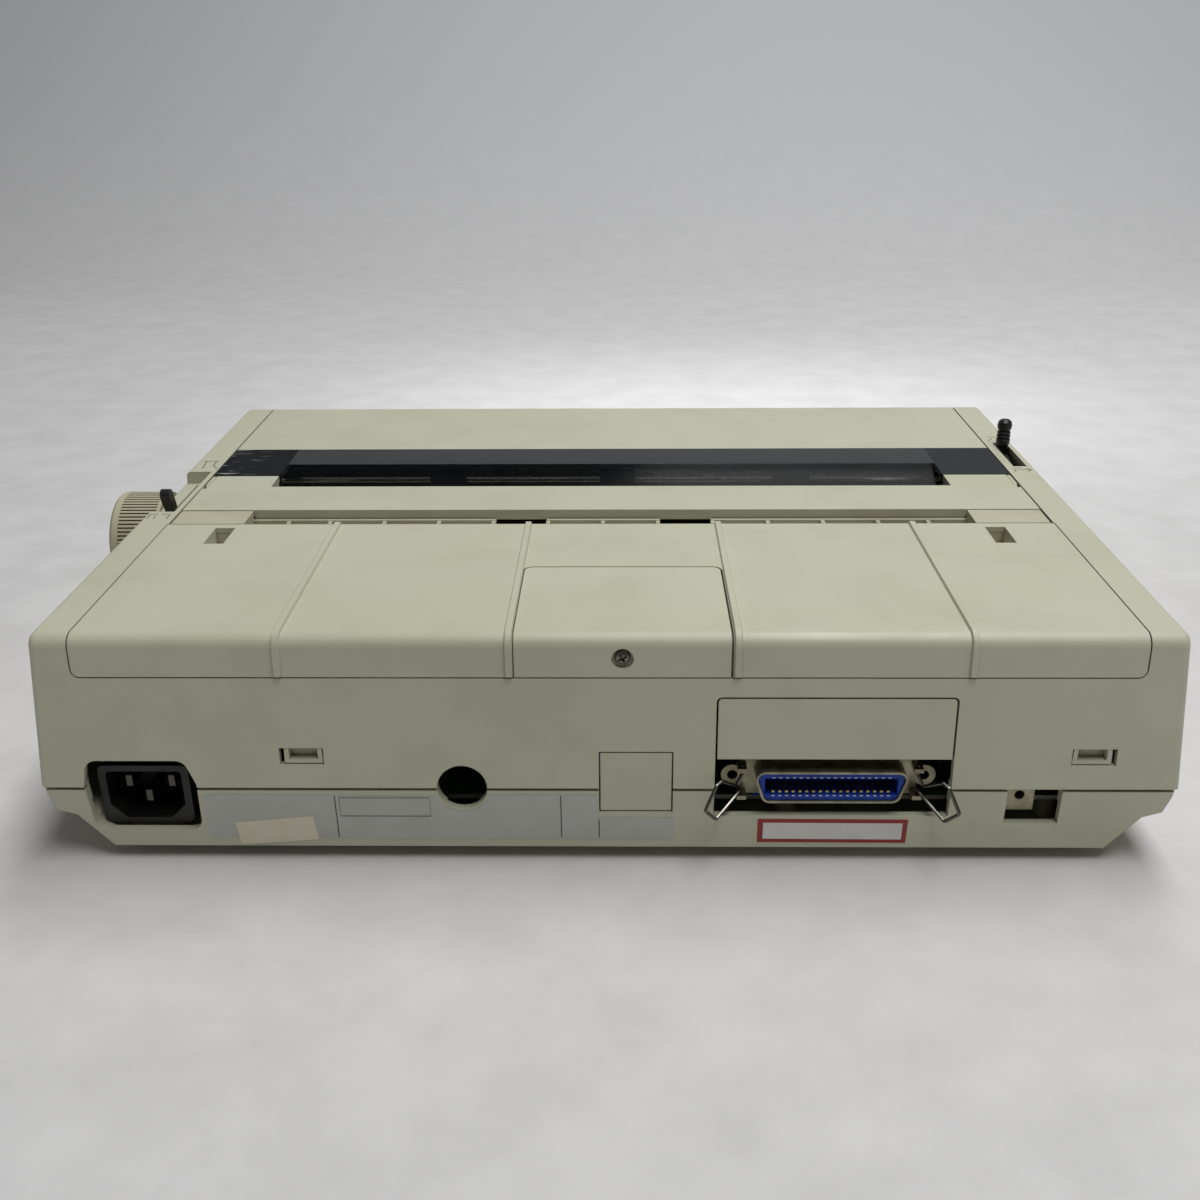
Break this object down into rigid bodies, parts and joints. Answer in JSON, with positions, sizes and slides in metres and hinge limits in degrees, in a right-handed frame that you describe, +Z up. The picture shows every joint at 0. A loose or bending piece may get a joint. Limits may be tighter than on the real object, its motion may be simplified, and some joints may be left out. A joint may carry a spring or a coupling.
{
  "type": "dot matrix printer",
  "caption": "Low desktop dot matrix printer with hinged access and paper covers, pin-feed platen, moving print head carriage, paper bail and rear parallel socket.",
  "frame": {"origin": "middle of the base, on the table", "axes": "+X along the platen towards the knob, +Y towards the back with the sockets, +Z up"},
  "size_m": [0.3828, 0.2836, 0.0926],
  "materials": {
    "case_plastic": "fine moulded texture, slightly yellowed",
    "smoked_plastic": "smoked, polished",
    "panel_plastic": "satin dark",
    "black_plastic": "satin black",
    "rubber": "ground",
    "zinc_steel": "zinc plated sheet",
    "bright_steel": "ground, nickel plated",
    "motor_steel": "drawn can",
    "head_metal": "black anodised die casting",
    "ivory_plastic": "acetal",
    "board_green": "solder resist on glass laminate",
    "blue_plastic": "moulded",
    "gold_contact": "gold plated",
    "lamp_green": "clear tinted"
  },
  "bodies": {
    "root": {"tray": "case_plastic", "upper_case": "case_plastic", "rear_panel": "case_plastic", "option_cover": "case_plastic", "connector_cover": "case_plastic", "blank_plug": "case_plastic", "paper_chute": "case_plastic", "feet": "rubber", "left_side_frame": "zinc_steel", "right_side_frame": "zinc_steel", "guide_shaft": "bright_steel", "front_rail": "zinc_steel", "drive_belt": "rubber", "carriage_motor": "motor_steel", "belt_tensioner": "zinc_steel", "line_feed_motor": "motor_steel", "main_board": "board_green", "board_parts": "black_plastic", "transformer": "zinc_steel", "mains_inlet": "black_plastic", "inlet_pins": "bright_steel", "connector_shell": "zinc_steel", "connector_insert": "blue_plastic", "connector_contacts": "gold_contact", "ground_terminal": "zinc_steel", "case_screws": "bright_steel", "cover_screw": "bright_steel", "control_panel": "panel_plastic", "indicator_lamps": "lamp_green", "panel_board": "board_green", "switch_body": "black_plastic"},
    "access_cover": {"access_cover": "case_plastic", "visor": "smoked_plastic", "cover_arms": "smoked_plastic"},
    "paper_cover": {"paper_cover": "case_plastic"},
    "platen": {"platen_roller": "rubber", "platen_shaft": "bright_steel", "platen_knob": "case_plastic", "platen_gear": "ivory_plastic", "pin_wheels": "black_plastic"},
    "idler_gear": {"idler_gear": "ivory_plastic"},
    "motor_pinion": {"motor_pinion": "bright_steel"},
    "release_lever": {"release_lever": "black_plastic"},
    "pressure_frame": {"pressure_frame": "zinc_steel", "pressure_rollers": "rubber"},
    "paper_bail": {"bail_frame": "bright_steel", "bail_rollers": "rubber", "bail_lever": "black_plastic"},
    "carriage": {"carriage": "black_plastic", "print_head": "head_metal", "ribbon_cartridge": "panel_plastic"},
    "ribbon_knob": {"ribbon_knob": "ivory_plastic"},
    "drive_pulley": {"drive_pulley": "ivory_plastic"},
    "idler_pulley": {"idler_pulley": "ivory_plastic"},
    "plug_lock_inner": {"plug_lock_inner": "bright_steel"},
    "plug_lock_outer": {"plug_lock_outer": "bright_steel"},
    "select_button": {"select_button": "ivory_plastic"},
    "line_feed_button": {"line_feed_button": "ivory_plastic"},
    "form_feed_button": {"form_feed_button": "ivory_plastic"},
    "power_rocker": {"power_rocker": "black_plastic"}
  },
  "joints": [
    {"name": "access_cover_hinge", "type": "hinge", "parent": "root", "child": "access_cover", "pos_m": [-0.00991, -0.01843, 0.0781], "axis": [-1, 0, 0], "range_deg": [0, 85]},
    {"name": "paper_cover_hinge", "type": "hinge", "parent": "root", "child": "paper_cover", "pos_m": [-0.00991, 0.00957, 0.0781], "axis": [-1, 0, 0], "range_deg": [0, 70]},
    {"name": "platen_turn", "type": "hinge", "parent": "root", "child": "platen", "pos_m": [-0.00991, -0.01443, 0.056], "axis": [1, 0, 0], "continuous": true},
    {"name": "idler_turn", "type": "hinge", "parent": "root", "child": "idler_gear", "pos_m": [0.14609, 0.02182, 0.04458], "axis": [1, 0, 0], "continuous": true},
    {"name": "pinion_turn", "type": "hinge", "parent": "root", "child": "motor_pinion", "pos_m": [0.14609, 0.04557, 0.034], "axis": [1, 0, 0], "continuous": true},
    {"name": "release_turn", "type": "hinge", "parent": "root", "child": "release_lever", "pos_m": [0.16209, -0.00243, 0.028], "axis": [1, 0, 0], "range_deg": [0, 24]},
    {"name": "pressure_swing", "type": "hinge", "parent": "root", "child": "pressure_frame", "pos_m": [-0.00991, 0.00057, 0.024], "axis": [1, 0, 0], "range_deg": [0, 5]},
    {"name": "bail_swing", "type": "hinge", "parent": "root", "child": "paper_bail", "pos_m": [-0.00991, -0.05293, 0.0369], "axis": [-1, 0, 0], "range_deg": [0, 31.5]},
    {"name": "carriage_slide", "type": "slide", "parent": "root", "child": "carriage", "axis": [1, 0, 0], "range_m": [0, 0.19]},
    {"name": "ribbon_knob_turn", "type": "hinge", "parent": "carriage", "child": "ribbon_knob", "pos_m": [-0.07891, -0.09243, 0.061], "axis": [0, 0, 1], "continuous": true},
    {"name": "drive_pulley_turn", "type": "hinge", "parent": "root", "child": "drive_pulley", "pos_m": [0.11809, -0.08443, 0.024], "axis": [0, 0, -1], "range_deg": [0, 1810]},
    {"name": "idler_pulley_turn", "type": "hinge", "parent": "root", "child": "idler_pulley", "pos_m": [-0.13791, -0.08443, 0.024], "axis": [0, 0, -1], "range_deg": [0, 1810]},
    {"name": "plug_lock_inner_turn", "type": "hinge", "parent": "root", "child": "plug_lock_inner", "pos_m": [-0.05361, 0.12757, 0.0281], "axis": [0, 0, 1], "range_deg": [0, 60]},
    {"name": "plug_lock_outer_turn", "type": "hinge", "parent": "root", "child": "plug_lock_outer", "pos_m": [-0.10981, 0.12757, 0.0281], "axis": [0, 0, -1], "range_deg": [0, 60]},
    {"name": "select_press", "type": "slide", "parent": "root", "child": "select_button", "axis": [0, 0.9744, -0.2249], "range_m": [0, 0.0012], "stiffness_N_per_m": 400},
    {"name": "line_feed_press", "type": "slide", "parent": "root", "child": "line_feed_button", "axis": [0, 0.9744, -0.2249], "range_m": [0, 0.0012], "stiffness_N_per_m": 400},
    {"name": "form_feed_press", "type": "slide", "parent": "root", "child": "form_feed_button", "axis": [0, 0.9744, -0.2249], "range_m": [0, 0.0012], "stiffness_N_per_m": 400},
    {"name": "power_rocker_tilt", "type": "hinge", "parent": "root", "child": "power_rocker", "pos_m": [0.16611, -0.08243, 0.05], "axis": [0, 0, 1], "range_deg": [0, 12]}
  ],
  "couplings": [
    {"joint": "idler_turn", "follows": "platen_turn", "ratio": -0.9},
    {"joint": "pinion_turn", "follows": "platen_turn", "ratio": 3},
    {"joint": "pressure_swing", "follows": "release_turn", "ratio": 0.20833},
    {"joint": "drive_pulley_turn", "follows": "carriage_slide", "rad_per_m": 165.29},
    {"joint": "idler_pulley_turn", "follows": "carriage_slide", "rad_per_m": 165.29}
  ]
}
